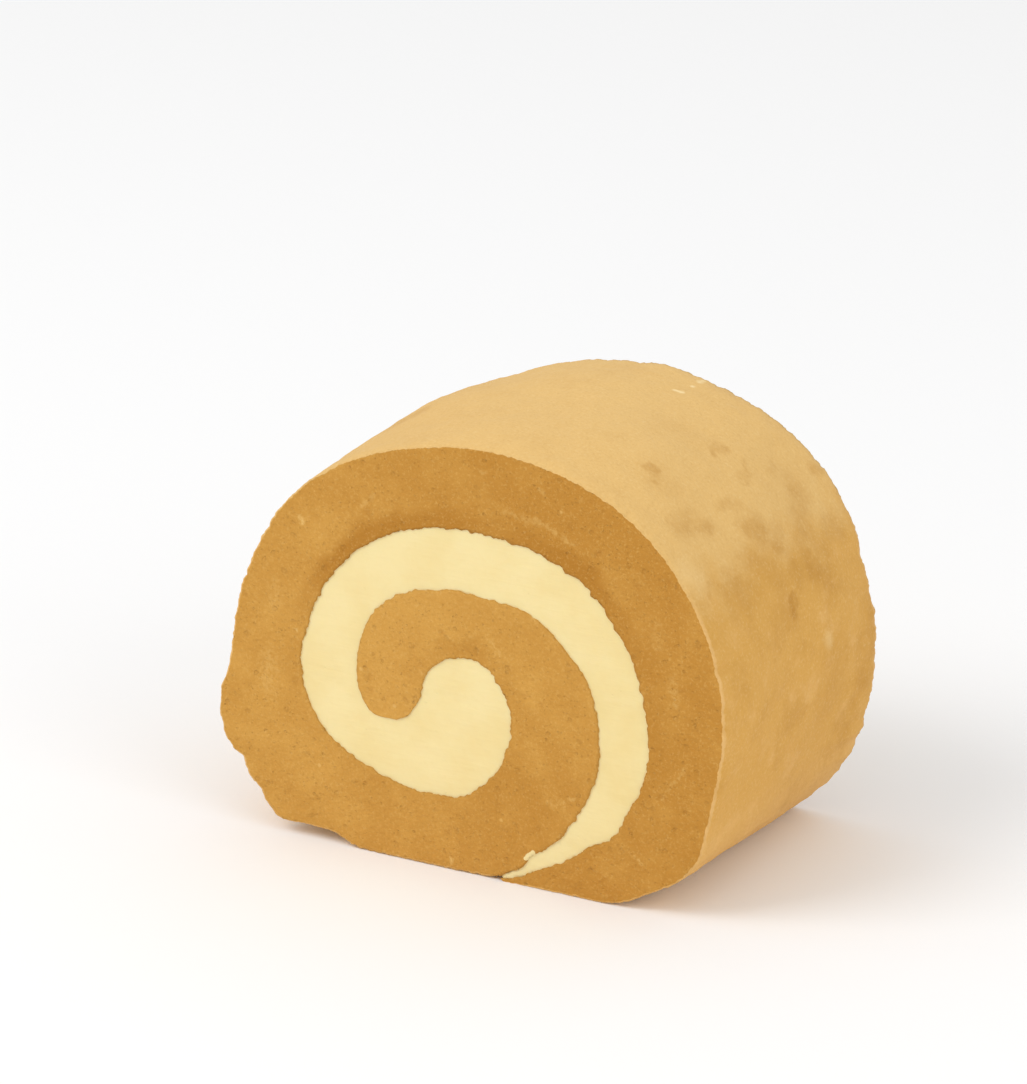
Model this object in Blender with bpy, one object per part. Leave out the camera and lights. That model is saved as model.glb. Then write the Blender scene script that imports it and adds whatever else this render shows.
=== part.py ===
"""Swiss roll cake: one sheet of sponge rolled round one layer of cream and cut across at both ends.

The roll lies along Y on its flat base, and the cut end that faces -Y shows the swirl. The origin is
the middle of the base. The swirl is drawn in polar form about its own centre: a turn of 0 degrees
points to +X, 90 degrees points up, and the sheet is followed from its outer end under the roll,
round the outside, and in to its inner end. Sizes here are in millimetres.
"""

import math

import bmesh
import bpy
import numpy as np

MM = 0.001

ROLL_LENGTH = 52.6
SWIRL_CENTRE_X = -1.0
SWIRL_CENTRE_Z = 31.0

# The sheet's two sides, as distances from the swirl's centre at every twelfth of a turn.
FIRST_STATION = -75.0
STATION_STEP = 30.0
OUTSIDE_RADII = (
    34.0, 42.8, 47.0, 48.4, 46.8, 42.8, 40.9, 42.1, 42.4, 43.8, 40.2, 34.0,  # the skin, once round
    31.5, 28.0, 26.9, 24.5, 20.9, 17.9, 17.5, 18.7, 19.4, 19.0, 18.5,  # the curl, inside the cream
)
INSIDE_RADII = (
    31.9, 32.3, 35.0, 33.7, 31.8, 28.3, 27.4, 28.1, 29.0, 29.0, 23.3, 18.7,
    15.8, 12.6, 10.1, 8.0, 7.2, 6.2, 5.6, 5.6, 6.5, 6.9, 7.5,
)
SHEET_START = -74.0
SHEET_END = 572.0
ROUNDED_FROM = 545.0  # the sheet's inner end is rounded over from this turn
ROUNDED_SHARE = 0.96
BASE_ROUNDING = 1.5  # height over which the skin bends into the flat base

# Bulges that run the length of the roll: turn, height at the front end, height at the back end and
# half width in degrees.
BULGES = (
    (-38.0, 0.0, 2.2, 18.0),
    (-27.0, 2.4, 0.6, 10.0),
    (197.0, 3.4, 2.4, 9.0),
    (215.0, 3.2, 2.0, 8.0),
)
# Shallow waves in the skin between the ends: height, waves round the roll, waves along it, start.
SKIN_WAVES = ((0.30, 5, 1.3, 0.4), (0.20, 9, -1.7, 2.1))

CROWN = 0.020  # share by which the roll stands taller at mid length than at its sagged cut ends
BACK_RISE = 0.005  # share by which the back end is taller than the front one
BACK_SPREAD = 0.014  # share by which the back end is wider

CREAM_TAIL_START = -70.0
CREAM_GAP = 0.3  # clearance between cream and sponge

SHEET_COLUMNS = 144
ROLL_RINGS = 6
WELD_DISTANCE = 0.002 * MM
SMOOTH_ANGLE = math.radians(35)

SPONGE_COLOUR = (0.60, 0.29, 0.055, 1.0)
CREAM_COLOUR = (0.92, 0.74, 0.37, 1.0)


def radius_between_stations(radii, turn):
    """Smooth curve through the station radii: a cubic in each twelfth of a turn."""
    place = (turn - FIRST_STATION) / STATION_STEP
    station = min(max(int(math.floor(place)), 0), len(radii) - 2)
    share = place - station
    before = radii[max(station - 1, 0)]
    here, after = radii[station], radii[station + 1]
    beyond = radii[min(station + 2, len(radii) - 1)]
    slope_here = (after - before) / 2
    slope_after = (beyond - here) / 2
    rise = after - here
    cubic = slope_here + slope_after - 2 * rise
    square = 3 * rise - 2 * slope_here - slope_after
    return here + share * (slope_here + share * (square + share * cubic))


def sheet_radii(turn):
    """Distances of the sheet's outer and inner side from the swirl's centre, rounded at the inner end."""
    outer = radius_between_stations(OUTSIDE_RADII, turn)
    inner = radius_between_stations(INSIDE_RADII, turn)
    if turn <= ROUNDED_FROM:
        return outer, inner
    towards_end = ROUNDED_SHARE * (turn - ROUNDED_FROM) / (SHEET_END - ROUNDED_FROM)
    middle = (outer + inner) / 2
    half = (outer - inner) / 2 * math.sqrt(1 - towards_end**2)
    return middle + half, middle - half


def skin_relief(turn, along_roll):
    """Height of the bulges and waves on the outer skin. The waves fade out underneath and at the ends."""
    if turn > SHEET_START + 360:
        return 0.0
    bulges = sum(
        (front + (back - front) * along_roll) * math.exp(-(((turn - centre) / spread) ** 2))
        for centre, front, back, spread in BULGES
    )
    waves = sum(
        height * math.sin(around * math.radians(turn) + 2 * math.pi * lengthwise * along_roll + start)
        for height, around, lengthwise, start in SKIN_WAVES
    )
    underneath = max(0.0, math.sin(math.radians(-turn)))
    return bulges + waves * (1 - underneath) * math.sin(math.pi * along_roll)


def section_point(turn, radius):
    """Point of the swirl's section, pressed flat where it would pass under the base."""
    angle = math.radians(turn)
    x = SWIRL_CENTRE_X + radius * math.cos(angle)
    z = SWIRL_CENTRE_Z + radius * math.sin(angle)
    if z < BASE_ROUNDING:
        z = max(z + BASE_ROUNDING, 0.0) ** 2 / (4 * BASE_ROUNDING)
    return x, z


def settle(x, along_roll, z):
    """Section point to the row frame: the roll is tallest at mid length, and its back end is wider."""
    arch = 4 * along_roll * (1 - along_roll)
    x *= 1 + BACK_SPREAD * along_roll
    z *= 1 + CROWN * arch + BACK_RISE * along_roll
    return x * MM, (along_roll - 0.5) * ROLL_LENGTH * MM, z * MM


def sheet_turns():
    """The turns of the sheet's columns, which the cream's outline shares."""
    return np.linspace(SHEET_START, SHEET_END, SHEET_COLUMNS + 1)


def finished_object(name, bm, colour, roughness, collection):
    """Object of this name with the bmesh's shape, smooth sides and one plain material."""
    bmesh.ops.recalc_face_normals(bm, faces=bm.faces)
    if bm.calc_volume(signed=True) < 0:
        bmesh.ops.reverse_faces(bm, faces=bm.faces)
    mesh = bpy.data.meshes.new(name)
    bm.to_mesh(mesh)
    bm.free()
    mesh.shade_smooth()
    mesh.set_sharp_from_angle(angle=SMOOTH_ANGLE)
    material = bpy.data.materials.new(name)
    material.use_nodes = True
    surface = material.node_tree.nodes["Principled BSDF"]
    surface.inputs["Base Color"].default_value = colour
    surface.inputs["Roughness"].default_value = roughness
    surface.inputs["Metallic"].default_value = 0.0
    mesh.materials.append(material)
    made = bpy.data.objects.new(name, mesh)
    collection.objects.link(made)
    return made


def make_sponge(collection):
    """The sheet of sponge, made flat as a slab one unit each way and then rolled up."""
    bm = bmesh.new()
    bmesh.ops.create_grid(bm, x_segments=SHEET_COLUMNS, y_segments=ROLL_RINGS, size=0.5)
    raised = bmesh.ops.extrude_face_region(bm, geom=bm.faces[:], use_keep_orig=True)
    for item in raised["geom"]:
        if isinstance(item, bmesh.types.BMVert):
            item.co.z = 1.0
    turns = sheet_turns()
    for vert in bm.verts:
        turn = turns[round((vert.co.x + 0.5) * SHEET_COLUMNS)]
        along_roll = vert.co.y + 0.5
        outer, inner = sheet_radii(turn)
        is_inside = vert.co.z > 0.5
        radius = inner if is_inside else outer + skin_relief(turn, along_roll)
        x, z = section_point(turn, radius)
        vert.co = settle(x, along_roll, z)
    return finished_object("sponge", bm, SPONGE_COLOUR, 0.9, collection)


def cream_outline():
    """Closed outline of the cream's section: the sheet's inside, round its inner end and back outside."""
    turns = sheet_turns()
    inwards = turns[turns > CREAM_TAIL_START]
    outwards = turns[turns > CREAM_TAIL_START + 360][::-1]
    contact = [section_point(turn, sheet_radii(turn)[1]) for turn in inwards]
    contact += [section_point(turn, sheet_radii(turn)[0]) for turn in outwards]
    contact = np.array(contact)
    heading = np.gradient(contact, axis=0)
    heading /= np.linalg.norm(heading, axis=1)[:, None]
    away_from_sheet = np.stack([-heading[:, 1], heading[:, 0]], axis=1)
    return contact + CREAM_GAP * away_from_sheet


def flat_outline_object(name, outline, thickness):
    """Flat slab of this outline in the XZ plane, half its thickness to each side of it."""
    curve = bpy.data.curves.new(name, "CURVE")
    curve.dimensions = "2D"
    curve.fill_mode = "BOTH"
    curve.extrude = thickness / 2
    spline = curve.splines.new("POLY")
    spline.points.add(len(outline) - 1)
    for point, (x, z) in zip(spline.points, outline):
        point.co = (x, z, 0.0, 1.0)
    spline.use_cyclic_u = True
    slab = bpy.data.objects.new(name, curve)
    slab.rotation_euler = (math.radians(90), 0.0, 0.0)
    bpy.context.scene.collection.objects.link(slab)
    bpy.context.view_layer.update()
    return slab


def make_cream(collection):
    """The cream: a slab of its outline, cut into the sponge's rings and settled with it."""
    slab = flat_outline_object("cream_outline", cream_outline(), ROLL_LENGTH)
    evaluated = slab.evaluated_get(bpy.context.evaluated_depsgraph_get())
    flat_mesh = bpy.data.meshes.new_from_object(evaluated)
    bm = bmesh.new()
    bm.from_mesh(flat_mesh)
    bm.transform(slab.matrix_world)
    bmesh.ops.remove_doubles(bm, verts=bm.verts, dist=WELD_DISTANCE / MM)
    for ring in range(1, ROLL_RINGS):
        bmesh.ops.bisect_plane(
            bm,
            geom=bm.verts[:] + bm.edges[:] + bm.faces[:],
            plane_co=(0.0, (ring / ROLL_RINGS - 0.5) * ROLL_LENGTH, 0.0),
            plane_no=(0.0, 1.0, 0.0),
        )
    for vert in bm.verts:
        vert.co = settle(vert.co.x, vert.co.y / ROLL_LENGTH + 0.5, vert.co.z)
    bpy.data.objects.remove(slab)
    return finished_object("cream", bm, CREAM_COLOUR, 0.45, collection)


def centre_on_origin(pieces):
    """Moves the pieces sideways together, so that the origin is under the middle of the roll."""
    across = [vert.co.x for piece in pieces for vert in piece.data.vertices]
    middle = (min(across) + max(across)) / 2
    for piece in pieces:
        for vert in piece.data.vertices:
            vert.co.x -= middle


def main():
    for leftover in list(bpy.data.objects):
        bpy.data.objects.remove(leftover)
    collection = bpy.data.collections.new("swiss_roll_cake")
    bpy.context.scene.collection.children.link(collection)
    pieces = [make_sponge(collection), make_cream(collection)]
    centre_on_origin(pieces)


main()
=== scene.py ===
"""A cut length of swiss roll cake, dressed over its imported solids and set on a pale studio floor.

The roll is one sheet of sponge rolled round one layer of cream. Its section is drawn in polar form
about the swirl's centre: a turn of 0 degrees points to +X, 90 degrees points up, and the sheet is
followed from its outer end under the roll, once round the outside, and in to its inner end. Sections
are worked out in millimetres, and settle() turns them into metres in the shared frame.
"""

import math

import bmesh
import bpy
import numpy as np
from bpy.props import FloatProperty, FloatVectorProperty, PointerProperty
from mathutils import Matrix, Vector, noise


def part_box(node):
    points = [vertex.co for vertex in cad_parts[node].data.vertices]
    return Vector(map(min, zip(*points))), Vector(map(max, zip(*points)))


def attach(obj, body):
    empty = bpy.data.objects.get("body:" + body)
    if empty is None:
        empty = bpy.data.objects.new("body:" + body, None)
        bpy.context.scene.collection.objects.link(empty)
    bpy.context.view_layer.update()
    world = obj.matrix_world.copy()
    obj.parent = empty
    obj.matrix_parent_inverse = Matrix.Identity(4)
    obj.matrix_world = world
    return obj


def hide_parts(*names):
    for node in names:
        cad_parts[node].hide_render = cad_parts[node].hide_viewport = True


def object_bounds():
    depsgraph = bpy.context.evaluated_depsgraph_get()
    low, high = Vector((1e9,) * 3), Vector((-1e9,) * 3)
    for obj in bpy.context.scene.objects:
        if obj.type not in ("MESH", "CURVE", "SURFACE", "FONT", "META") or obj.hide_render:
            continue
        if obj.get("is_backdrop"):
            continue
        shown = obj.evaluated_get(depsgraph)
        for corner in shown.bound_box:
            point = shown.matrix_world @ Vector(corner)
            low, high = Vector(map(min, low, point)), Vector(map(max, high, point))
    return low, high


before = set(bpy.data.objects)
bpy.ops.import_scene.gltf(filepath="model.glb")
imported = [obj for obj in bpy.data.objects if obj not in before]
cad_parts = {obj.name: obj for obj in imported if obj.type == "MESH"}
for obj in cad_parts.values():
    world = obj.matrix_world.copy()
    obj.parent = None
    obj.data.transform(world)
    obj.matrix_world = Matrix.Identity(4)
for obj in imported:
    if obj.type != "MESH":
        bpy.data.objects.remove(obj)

bl_info = {
    "name": "Swiss Roll Cake",
    "version": (1, 0, 0),
    "blender": (4, 5, 0),
    "location": "View3D > Sidebar > Swiss Roll",
    "description": "Dresses a cut length of swiss roll cake with crumb, skin and cream",
    "category": "Add Mesh",
}

MM = 0.001
CAD_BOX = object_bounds()
SPONGE_LOW, SPONGE_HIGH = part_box("sponge")

# The roll's section, in millimetres and degrees, as the solids have it.
ROLL_LENGTH = (SPONGE_HIGH[1] - SPONGE_LOW[1]) / MM
SWIRL_CENTRE_X = -1.0
SWIRL_CENTRE_Z = 31.0
FIRST_STATION = -75.0
STATION_STEP = 30.0
OUTSIDE_RADII = (
    34.0, 42.8, 47.0, 48.4, 46.8, 42.8, 40.9, 42.1, 42.4, 43.8, 40.2, 34.0,  # the skin, once round
    31.5, 28.0, 26.9, 24.5, 20.9, 17.9, 17.5, 18.7, 19.4, 19.0, 18.5,  # the curl, inside the cream
)
INSIDE_RADII = (
    31.9, 32.3, 35.0, 33.7, 31.8, 28.3, 27.4, 28.1, 29.0, 29.0, 23.3, 18.7,
    15.8, 12.6, 10.1, 8.0, 7.2, 6.2, 5.6, 5.6, 6.5, 6.9, 7.5,
)
SHEET_START = -74.0
SHEET_END = 572.0
SKIN_END = SHEET_START + 360  # the skin goes once round, and under the sheet's own start
ROUNDED_FROM = 545.0  # the sheet's inner end is rounded over from this turn
ROUNDED_SHARE = 0.96
BASE_ROUNDING = 1.5  # height over which the skin bends into the flat base
# Bulges that run the length of the roll: turn, height at the front end, height at the back end and
# half width in degrees.
BULGES = (
    (-38.0, 0.0, 2.2, 18.0),
    (-27.0, 2.4, 0.6, 10.0),
    (197.0, 3.4, 2.4, 9.0),
    (215.0, 3.2, 2.0, 8.0),
)
# Shallow waves in the skin between the ends: height, waves round the roll, waves along it, start.
SKIN_WAVES = ((0.30, 5, 1.3, 0.4), (0.20, 9, -1.7, 2.1))
CROWN = 0.020  # share by which the roll stands taller at mid length than at its cut ends
BACK_RISE = 0.005  # share by which the back end is taller than the front one
BACK_SPREAD = 0.014  # share by which the back end is wider
BOX_SAMPLES = 145  # turns at which the roll's width is looked at

# Small dents and lumps in the skin, most of them beside the cuts: share along the roll (0 front, 1
# back), turn, depth (below zero for a lump) and half width in degrees.
DENTS = (
    (0, 14.5, 0.4, 0.9),
    (0.20, 130.0, 0.60, 9.0),
    (0.58, 122.0, -0.45, 8.0),
    (0.82, 124.0, -0.30, 6.0),
    (1, 117.0, 0.50, 7.0),
    (1, 76.5, -0.55, 6.0),
    (0, 165.0, -0.3, 4.0),
    (0, 189.0, -0.6, 1.9),
    (0, 193.0, -0.3, 5.0),
    (0, 197.0, 0.45, 1.8),
    (0, 200.0, -0.9, 5.0),
    (0, 202.0, -0.35, 1.3),
    (0, 204.8, 0.45, 1.3),
    (0, 210.5, -1.3, 5.0),
    (0, 212.3, 1.2, 2.6),
    (0, 220.0, -1.4, 3.1),
    (0, 231.5, 1.55, 5.5),
    (1, 37.5, -0.3, 2.0),
    (1, 20.0, 0.45, 1.6),
    (1, 14.5, 0.8, 7.0),
    (1, -3.0, 0.3, 2.2),
    (1, -5.0, -0.3, 4.0),
    (1, -11.5, -0.4, 4.5),
    (1, -17.6, -0.8, 1.9),
    (1, -22.8, -0.5, 1.8),
    (1, -34.0, 0.35, 2.5),
)
DENT_REACH = 9.0  # how far along the roll a dent fades out
# Places of the front cut where the knife dragged the soft cake: x and z, the push in x and z, reach.
DRAGS = (
    (-14.0, 23.1, 0.95, 0.93, 2.6),
    (-1.4, 14.2, 0.20, -1.10, 3.6),
    (-8.4, 13.3, 0.00, -0.40, 3.5),
    (24.8, 29.1, -0.65, -0.10, 7.0),
    (19.3, 42.1, -0.45, -0.55, 5.0),
    (5.9, 48.0, 0.00, -0.50, 5.0),
    (-5.1, 48.3, 0.00, -0.45, 5.0),
    (26.4, 12.9, 0.80, -1.05, 3.2),
    (13.3, 5.1, -0.90, 0.50, 3.0),
    (8.4, 1.2, -1.20, -0.20, 2.5),
    (32.7, 26.9, 0.70, 0.10, 0.8),
    (-30.5, 31.2, -0.40, 0.00, 6.0),
    (-20.7, 34.7, 0.35, 0.00, 5.0),
)
DRAG_REACH = 6.0  # how far along the roll a drag fades out

SHEET_COLUMNS = 1020
SHEET_LAYERS = 28
SHEET_RINGS = 6
SLAB_SKIN_SIDE = -0.499  # the flat slab's skin side lies at -0.5, and the next layer above this
SKIN_CUTS = 5  # the visible skin has this many more rings between each two of the sheet's
RING_CROWDING = 0.45  # how much closer the rings lie near the cuts
LEVEL_WITHIN = 0.001  # an edge that rises less than this lies in a ring, and isn't upright
ARC_SAMPLES = 1200

NOISE_SOFTNESS = 0.8  # how much weaker the finer features of the noise are
NOISE_STEP = 2.1  # how many times finer each octave of the noise is

# The crumb at the cuts. Noise has features of the size given, in millimetres.
CUT_REACH = 1.4  # how far along the roll the ragged edge and the rim's wear fade out
FACE_DEPTH = 1.6  # how far along the roll the crumb's relief fades out
EDGE_REACH = 1.2  # how far across the sheet a ragged or worn edge fades out
BESIDE_CREAM = 1.0  # how far from the cream the crumb is smoother and has no pores
RAGGED_NOISE = (5.5, 0.85, 1.7)  # slow, quick and torn
RAGGED_SHARES = (0.45, 0.50, 1.3)
TORN_ABOVE = 0.22  # crumb is torn out where its noise is above this
RIM_NOISE = 1.8
RIM_LEAST, RIM_VARIES = 0.5, 1.1  # least wear of the rim, and what the noise adds to it
SKIN_NOISE = 3.4
SKIN_SETTLES = 4.0  # height above the base over which the skin's unevenness grows
BROAD_NOISE, GRAIN_NOISE = 6.0, 1.5
RELIEF_SHARES = (0.25, 0.45, 0.85)  # broad, grain and pores
SMOOTHED = 0.6  # share of the relief that is missing right beside the cream
EDGE_DIP = 0.05  # depth of the crumb at its edge with the cream
DIP_GROWTH = 0.13  # how quickly it may deepen away from that edge
TIP_SHARE, TIP_REACH = 0.4, 12.0  # at the curl's tip it deepens at this share, up to this far off
PORE_WOBBLE, PORE_WOBBLE_NOISE = 0.5, 1.6
PORE_SHUFFLE = 31.7  # spreads neighbouring pores over the noise that gives their sizes
WIDEST_PORE, NARROWEST_PORE = 0.40, 0.12  # radii as shares of the pores' spacing

# Distances in the noise between the front cut and the back one, so that the two differ.
RAGGED_APART, CRUMB_APART, CREAM_APART = 60.0, 80.0, 90.0

CREAM_OUTLINE_POINTS = 420
CREAM_TAIL_START = -73.0
CREAM_TAIL_TAPER = 14.0  # degrees over which the tail's overlap grows to its full width
CREAM_TAIL_SHARE = 0.12  # share of the overlap at the tail's very end
CREAM_CELL = 0.9  # size of the cells that the cream's cut face is divided into
CREAM_RINGS = 12
CREAM_WELD = 1e-4  # points closer than this to a cut are taken as on it
CREAM_CLOUD, CREAM_CLOUD_SHARE = 5.0, 0.35  # size and depth of the cloudiness in its face
CREAM_DRAG, CREAM_DRAG_SHARE, CREAM_DRAG_STRETCH = 1.3, 0.2, 0.25  # the same for the knife's marks

# Marks on the skin, each a soft stroke between two places on it: turn and share along the roll of
# each end, radius in millimetres and strength.
BROWN_MARKS = (
    (49.9, 0.57, 50.0, 0.63, 1.0, 0.50),
    (53.8, 0.262, 50.0, 0.225, 0.9, 0.60),
    (53.0, 0.27, 50.0, 0.23, 3.0, 0.16),
    (45.6, 0.65, 41.6, 0.56, 0.7, 0.35),
    (38.6, 0.27, 41.2, 0.15, 2.2, 0.48),
    (39.3, 0.40, 39.3, 0.45, 1.4, 0.35),
    (32.6, 0.45, 28.6, 0.52, 3.2, 0.60),
    (28.4, 0.38, 25.2, 0.45, 3.4, 0.42),
    (35.5, 0.78, 27.0, 0.68, 3.0, 0.48),
    (25.6, 0.70, 23.0, 0.76, 3.0, 0.38),
    (22.4, 0.59, 20.6, 0.68, 3.0, 0.50),
    (2.5, 0.71, -5.5, 0.69, 4.2, 0.36),
    (25.8, 0.84, 25.8, 0.89, 2.6, 0.45),
    (38.2, 0.94, 38.2, 0.96, 1.3, 0.50),
    (41.8, 0.72, 41.8, 0.78, 1.1, 0.25),
    (21.9, 0.66, 17.5, 0.72, 3.0, 0.65),
    (18.2, 0.50, 15.6, 0.50, 1.2, 0.90),
    (24.5, 0.30, 26.0, 0.20, 3.2, 0.40),
    (28.7, 0.10, 28.7, 0.13, 1.1, 0.35),
    (8.0, 0.97, -6.0, 0.93, 3.4, 0.45),
    (9.0, 0.10, 7.0, 0.14, 1.6, 0.30),
    (124.0, 0.35, 119.0, 0.42, 2.6, 0.35),
    (146.0, 0.72, 152.0, 0.66, 2.4, 0.50),
    (157.0, 0.30, 163.0, 0.24, 3.0, 0.55),
    (172.0, 0.55, 178.0, 0.62, 2.2, 0.60),
    (186.0, 0.80, 190.0, 0.74, 3.2, 0.50),
)
PALE_MARKS = (
    (67.1, 0.812, 68.5, 0.808, 0.45, 0.90),
    (67.4, 0.889, 67.4, 0.892, 0.35, 0.80),
    (67.8, 0.940, 67.7, 0.969, 0.45, 0.75),
    (6.6, 0.670, 7.6, 0.664, 1.3, 0.24),
    (33.5, 0.050, 31.5, 0.070, 2.4, 0.14),
    (139.0, 0.52, 147.0, 0.60, 2.6, 0.30),
)
# Flecks and strokes in the cut crumb: x and z of each end, radius and strength.
CRUMB_FLECKS = (
    (-31.0, 55.6, -30.6, 54.7, 0.40, 0.75),
    (-32.3, 36.3, -32.3, 36.0, 0.35, 0.75),
    (-19.6, 59.4, -17.4, 61.4, 0.45, 0.28),
    (-8.3, 71.4, -8.2, 71.0, 0.40, 0.60),
    (-3.0, 1.4, -3.0, 2.0, 0.40, 0.75),
    (7.2, 62.9, 13.5, 61.9, 0.50, 0.26),
    (12.6, 62.7, 19.3, 59.5, 0.45, 0.30),
    (37.2, 39.9, 37.6, 37.6, 0.90, 0.26),
    (37.5, 37.4, 37.8, 36.1, 0.50, 0.34),
    (39.5, 25.8, 35.3, 19.9, 0.35, 0.24),
    (30.4, 9.8, 32.0, 8.3, 0.35, 0.45),
    (4.4, 40.5, 6.0, 38.8, 0.35, 0.34),
    (34.1, 48.9, 34.5, 45.6, 1.10, 0.16),
    (12.1, 46.6, 12.5, 46.0, 0.45, 0.40),
    (-37.4, 30.5, -37.7, 25.5, 1.70, 0.26),
    (-36.0, 43.0, -36.4, 40.0, 1.50, 0.18),
    (17.6, 15.8, 17.8, 15.6, 0.40, 0.45),
    (19.4, 16.7, 19.2, 16.9, 0.40, 0.45),
    (17.1, 51.7, 18.4, 50.9, 0.50, 0.25),
    (2.6, 69.1, 3.4, 68.8, 0.45, 0.25),
    (13.5, 67.6, 14.1, 67.2, 0.40, 0.25),
    (15.1, 15.3, 15.9, 15.0, 0.45, 0.25),
    (-8.8, 33.5, -8.0, 33.0, 0.50, 0.25),
)
# Cream smeared on the crumb beside its tail: x and z of each end, and radius.
CREAM_SMEARS = ((12.2, 6.0, 11.3, 5.2, 0.50), (11.3, 5.2, 10.9, 4.9, 0.36))

# Where colours change, in metres: the place where a change begins, and the one where it is full.
# The skin darkens and browns low on its sides and below its top: partly browner baking, partly painted shade.
SHADED_BROWNER_SIDES = (0.060, 0.049)  # heights
SHADED_BROWNER_BELOW_TOP = (0.080, 0.062)
# Heights of the painted light that pales the skin just above the base, where its underside curve is in shade.
PAINTED_LIGHT_FOOT = (0.022, 0.005)
RIM_ABOVE_BASE = (0.004, 0.014)
DARKER_TOP = (0.050, 0.066)
SOAKED_UPPER = (0.026, 0.050)
MORE_DRIFT_LEFT = (0.0, -0.030)  # across the roll
PALE_LEFT = (0.034, -0.032)
DEEPER_CREAM_RIGHT = (0.012, 0.032)
FRONT_HALF = (0.010, -0.010)  # along the roll
IN_CURL = (0.232, 0.252)  # along the sheet
BESIDE_RIM = (0.0009, 0.0003)  # from the cut
SOAKED_BAND = (0.0046, 0.0014)  # from the cream
SEAM_TURN = SKIN_END - 2  # the skin's colour ends here, 2 mm of it fading out
SEAM_FADE = 0.002

SKIN_GIVES_WAY = (1.35, 0.65)  # shares of the skin's thickness between which crumb turns to skin
SKIN_WANDERS = 0.0004  # how far that thickness wanders, in metres
UNUSED_NOISE = (0.3, 0.0, 0.0)  # moves a noise to a part of it that no other colour reads

FLECK_SPACING = 6.5  # millimetres between the cells that may hold a scattered fleck
FLECK_RADIUS = (0.075, 0.030)  # as shares of the spacing, from its soft edge to its full part
FLECK_CHOSEN = (0.60, 0.64)  # a cell's chance value has to be above this for a fleck
FLECK_STRENGTH = 0.45
SMEAR_EDGE = (0.30, 0.45)  # parts of a smear's soft stroke between which the cream's edge runs
PORELESS = 0.35  # share of the cells that hold no pore
PORE_CORE = 0.35  # share of a pore's radius where it is fully dark
SMALLEST_RADIUS = 0.001  # keeps the division away from zero
STROKE_SOFTNESS = 1.7  # how much further than its radius a stroke's soft edge goes

FLOOR_REACH = 6.0
LIGHT_AIM = (0.0, 0.0, 0.035)
KEY_PLACE = (-0.75, -0.95, 1.25)
FILL_PLACE = (1.3, -0.5, 0.7)
SOFTBOX_SIDE = 0.9
SENSOR_HEIGHT = 36.0


def linear(red, green, blue):
    """Linear colour from 8-bit screen values."""
    shares = [value / 255 for value in (red, green, blue)]
    return [share / 12.92 if share <= 0.04045 else ((share + 0.055) / 1.055) ** 2.4 for share in shares]


def colour_property(name, description, red, green, blue):
    return FloatVectorProperty(
        name=name,
        description=description,
        default=linear(red, green, blue),
        subtype="COLOR",
        min=0.0,
        max=1.0,
    )


def length_property(name, description, millimetres):
    return FloatProperty(
        name=name,
        description=description,
        default=millimetres * MM,
        unit="LENGTH",
        min=0.0,
        precision=5,
    )


class SwissRollSizes(bpy.types.PropertyGroup):
    """Sizes of the fine forms on the roll."""

    crumb_relief: length_property("Crumb relief", "Depth of the open crumb in the cut faces", 0.50)
    pore_spacing: length_property("Pore spacing", "Distance between the larger pores of the crumb", 2.6)
    ragged_edge: length_property("Ragged edge", "How far the crumb wanders at its edge with the cream", 0.45)
    rim_wear: length_property("Rim wear", "How far the skin's edge is worn back at the cuts", 0.30)
    skin_unevenness: length_property("Skin unevenness", "Height of the small unevenness in the skin", 0.18)
    skin_thickness: length_property("Skin thickness", "Thickness of the pale skin seen at the cuts", 0.24)
    cream_overlap: length_property("Cream overlap", "How far the cream runs in behind the crumb's edge", 0.60)
    cream_recess: length_property("Cream recess", "How far the cream lies behind the cut", 0.25)


class SwissRollColours(bpy.types.PropertyGroup):
    """Colours of the sponge, the skin, the cream and the floor."""

    crumb: colour_property("Crumb", "Main colour of the cut crumb", 190, 134, 54)
    crumb_pale: colour_property("Pale crumb", "Paler crumb to the left and in mottling", 209, 156, 74)
    crumb_soaked: colour_property("Soaked crumb", "Crumb beside the cream", 178, 121, 42)
    # Painted shade in the crumb's open pores, darker than the crumb around them.
    pore: colour_property("Pores", "Depth of the crumb's pores", 156, 101, 36)
    fleck: colour_property("Flecks", "Small light flecks in the crumb", 232, 190, 114)
    skin: colour_property("Skin", "Top of the outside", 231, 191, 122)
    # Darker, browner skin low on the sides: partly where it baked more, partly painted shade.
    skin_browned_and_shaded: colour_property("Warm skin", "Sides of the outside, where it baked more", 214, 163, 81)
    skin_brown: colour_property("Brown marks", "Blotches on the outside", 185, 131, 50)
    skin_pale: colour_property("Pale marks", "Rubbed and nicked places", 250, 224, 168)
    # Paler skin: a line beside the cuts, light patches on the sides, and the painted light near the base.
    paler_skin_and_painted_light: colour_property("Skin rim", "The skin's worn edge at the cuts", 234, 188, 120)
    cream: colour_property("Cream", "Main colour of the cream", 239, 219, 160)
    cream_deep: colour_property("Deep cream", "Faint deeper cloudiness in the cream", 232, 206, 138)
    floor: colour_property("Floor", "The studio floor", 252, 252, 252)


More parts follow.
